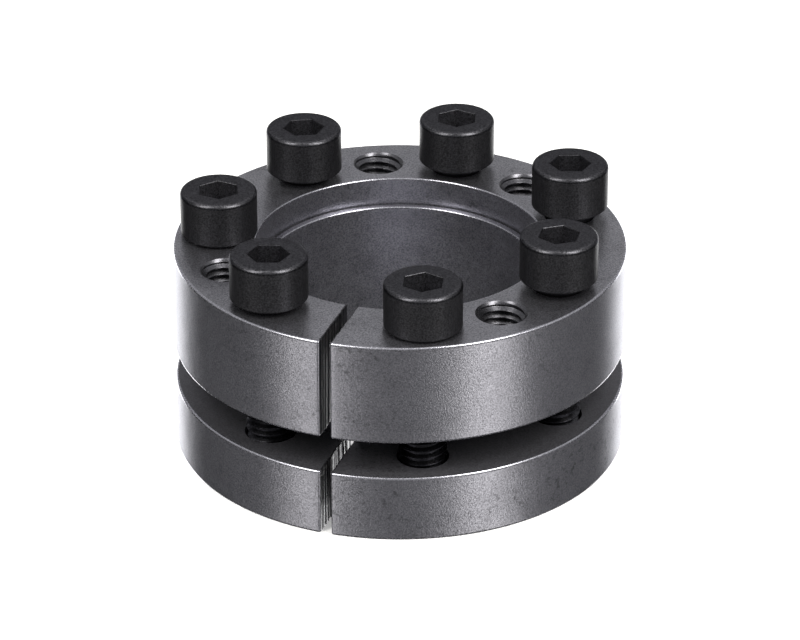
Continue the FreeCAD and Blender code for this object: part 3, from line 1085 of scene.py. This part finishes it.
floor_height = rear_low.z - FLOOR_DROP
floor_points = [(x * FLOOR_REACH, y * FLOOR_REACH, floor_height) for x, y in FLOOR_CORNERS]
floor_mesh = bpy.data.meshes.new("floor")
floor_mesh.from_pydata(floor_points, [], [(0, 1, 2, 3)])
floor = bpy.data.objects.new("floor", floor_mesh)
bpy.context.scene.collection.objects.link(floor)
floor.visible_glossy = False
paint = bpy.data.materials.new("pale_floor")
paint.use_nodes = True
paint_shader = paint.node_tree.nodes["Principled BSDF"]
for socket, value in FLOOR_PAINT.items():
    paint_shader.inputs[socket].default_value = value
floor_mesh.materials.append(paint)
print("floor", 2 * FLOOR_REACH, "m wide,", FLOOR_DROP / MM, "mm under the rear ring")

# %% [markdown]
# Steel shows what it mirrors more than its own colour, so the room matters as much as the lamps.
# One panorama of a studio could light it all, but with a few nodes we say how bright the room is
# in each direction, and change one part of it at a time. They are Math nodes again, this time
# in the world, and four small helpers keep them readable.

# %% Room nodes
room = bpy.data.worlds.new("studio")
room.use_nodes = True
room_nodes = room.node_tree.nodes
room_link = room.node_tree.links.new
room_light = room_nodes["Background"]
room_light.inputs["Color"].default_value = (1.0, 1.0, 1.0, 1.0)
direction = room_nodes.new("ShaderNodeTexCoord").outputs["Generated"]


def room_math(kind, operation, first, second):
    """Math node of the room's light; the second operand may be a constant."""
    made = room_nodes.new(kind)
    made.operation = operation
    room_link(first, made.inputs[0])
    if isinstance(second, bpy.types.NodeSocket):
        room_link(second, made.inputs[1])
    else:
        made.inputs[1].default_value = second
    return made.outputs["Value"]


def room_ramp(source, low, high, to_low, to_high):
    """The source's stretch from low to high, mapped to another stretch."""
    made = room_nodes.new("ShaderNodeMapRange")
    made.interpolation_type = "SMOOTHSTEP"
    values = {"From Min": low, "From Max": high, "To Min": to_low, "To Max": to_high}
    for name, value in values.items():
        made.inputs[name].default_value = value
    room_link(source, made.inputs["Value"])
    return made.outputs["Result"]


def along(axis):
    """How far each direction of the room points along an axis, from -1 to 1."""
    return room_math("ShaderNodeVectorMath", "DOT_PRODUCT", direction, axis)


def level_axis(angle):
    """Horizontal unit vector at an angle about the shaft."""
    return (math.cos(angle), math.sin(angle), 0.0)


print("from the shaft to the camera:", [round(v, 3) for v in level_axis(CAMERA_DIRECTION)])

# %% [markdown]
# The room is dim below and brighter above, and a little brighter in front of the rings than
# behind them. Behind the rings lies the white sweep of a photographer's table. It ends low, so
# only the rims of the upright walls mirror it, and they melt into the white of the picture as
# they do in the photograph. Each ramp runs over how far a direction points along an axis.

# %% Room light
ROOM_BEHIND = 0.03
ROOM_FRONT = 0.15
ROOM_ABOVE = 0.49
ROOM_RISE = (-0.1, 0.5)
ROOM_DEPTH = (-0.9, 0.8)
SWEEP = 5.2
SWEEP_SIDES = (0.615, 0.72)
SWEEP_TOP = (-0.2, 0.15)
SWEEP_DIRECTION = CAMERA_DIRECTION + math.radians(179.6)
FRONT_DIRECTION = CAMERA_DIRECTION + math.radians(20)

upward = along((0.0, 0.0, 1.0))
sweep = room_math(
    "ShaderNodeMath",
    "MULTIPLY",
    room_ramp(along(level_axis(SWEEP_DIRECTION)), *SWEEP_SIDES, 0.0, SWEEP),
    room_ramp(upward, *SWEEP_TOP, 1.0, 0.0),
)
walls = room_math(
    "ShaderNodeMath",
    "ADD",
    room_ramp(upward, *ROOM_RISE, 0.0, ROOM_ABOVE),
    room_ramp(along(level_axis(FRONT_DIRECTION)), *ROOM_DEPTH, ROOM_BEHIND, ROOM_FRONT),
)
room_link(room_math("ShaderNodeMath", "ADD", walls, sweep), room_light.inputs["Strength"])
bpy.context.scene.world = room
print("room:", ROOM_FRONT, "in front, up to", ROOM_ABOVE, "more above, sweep", SWEEP)

# %% [markdown]
# Soft boxes shape the rings. A tall one on each side of the camera draws an upright bright band
# on the ground wall and a short bright line on each rounded head. A bare lamp would show in the
# steel as a hard spot, so these are area lights. Each is placed by its direction as seen from
# above, in degrees counted from the camera to the right. It is set by how bright its face is, so
# that its size can change without its reflection growing dimmer.

# %% Lights
BOX_DISTANCE = 0.8
BOX_ELEVATION = 45
BOX_HEIGHT = 0.6
BOX_COLOUR = (1.0, 0.98, 0.93)


def soft_box(name, azimuth, width, radiance):
    """Add an area light that faces the rings from above."""
    around = CAMERA_DIRECTION + math.radians(azimuth)
    up = math.radians(BOX_ELEVATION)
    toward = Vector(
        (math.cos(around) * math.cos(up), math.sin(around) * math.cos(up), math.sin(up))
    )
    data = bpy.data.lights.new(name, "AREA")
    data.shape = "RECTANGLE"
    data.color = BOX_COLOUR
    data.size = width
    data.size_y = BOX_HEIGHT
    data.energy = radiance * math.pi * width * BOX_HEIGHT
    light = bpy.data.objects.new(name, data)
    bpy.context.scene.collection.objects.link(light)
    light.location = CAMERA_AIM + toward * BOX_DISTANCE
    light.rotation_euler = (-toward).to_track_quat("-Z", "Y").to_euler()
    print(name, "gives", round(data.energy, 2), "W")


soft_box("left_box", azimuth=-49.8, width=0.23, radiance=11.0)
soft_box("right_box", azimuth=49, width=0.26, radiance=14.0)

# %% [markdown] The picture is shown as the camera measured it, without a filmic curve, because
# the photograph goes to plain white.

# %% View and finish
bpy.context.scene.view_settings.view_transform = "Standard"
bpy.context.scene.view_settings.look = "None"
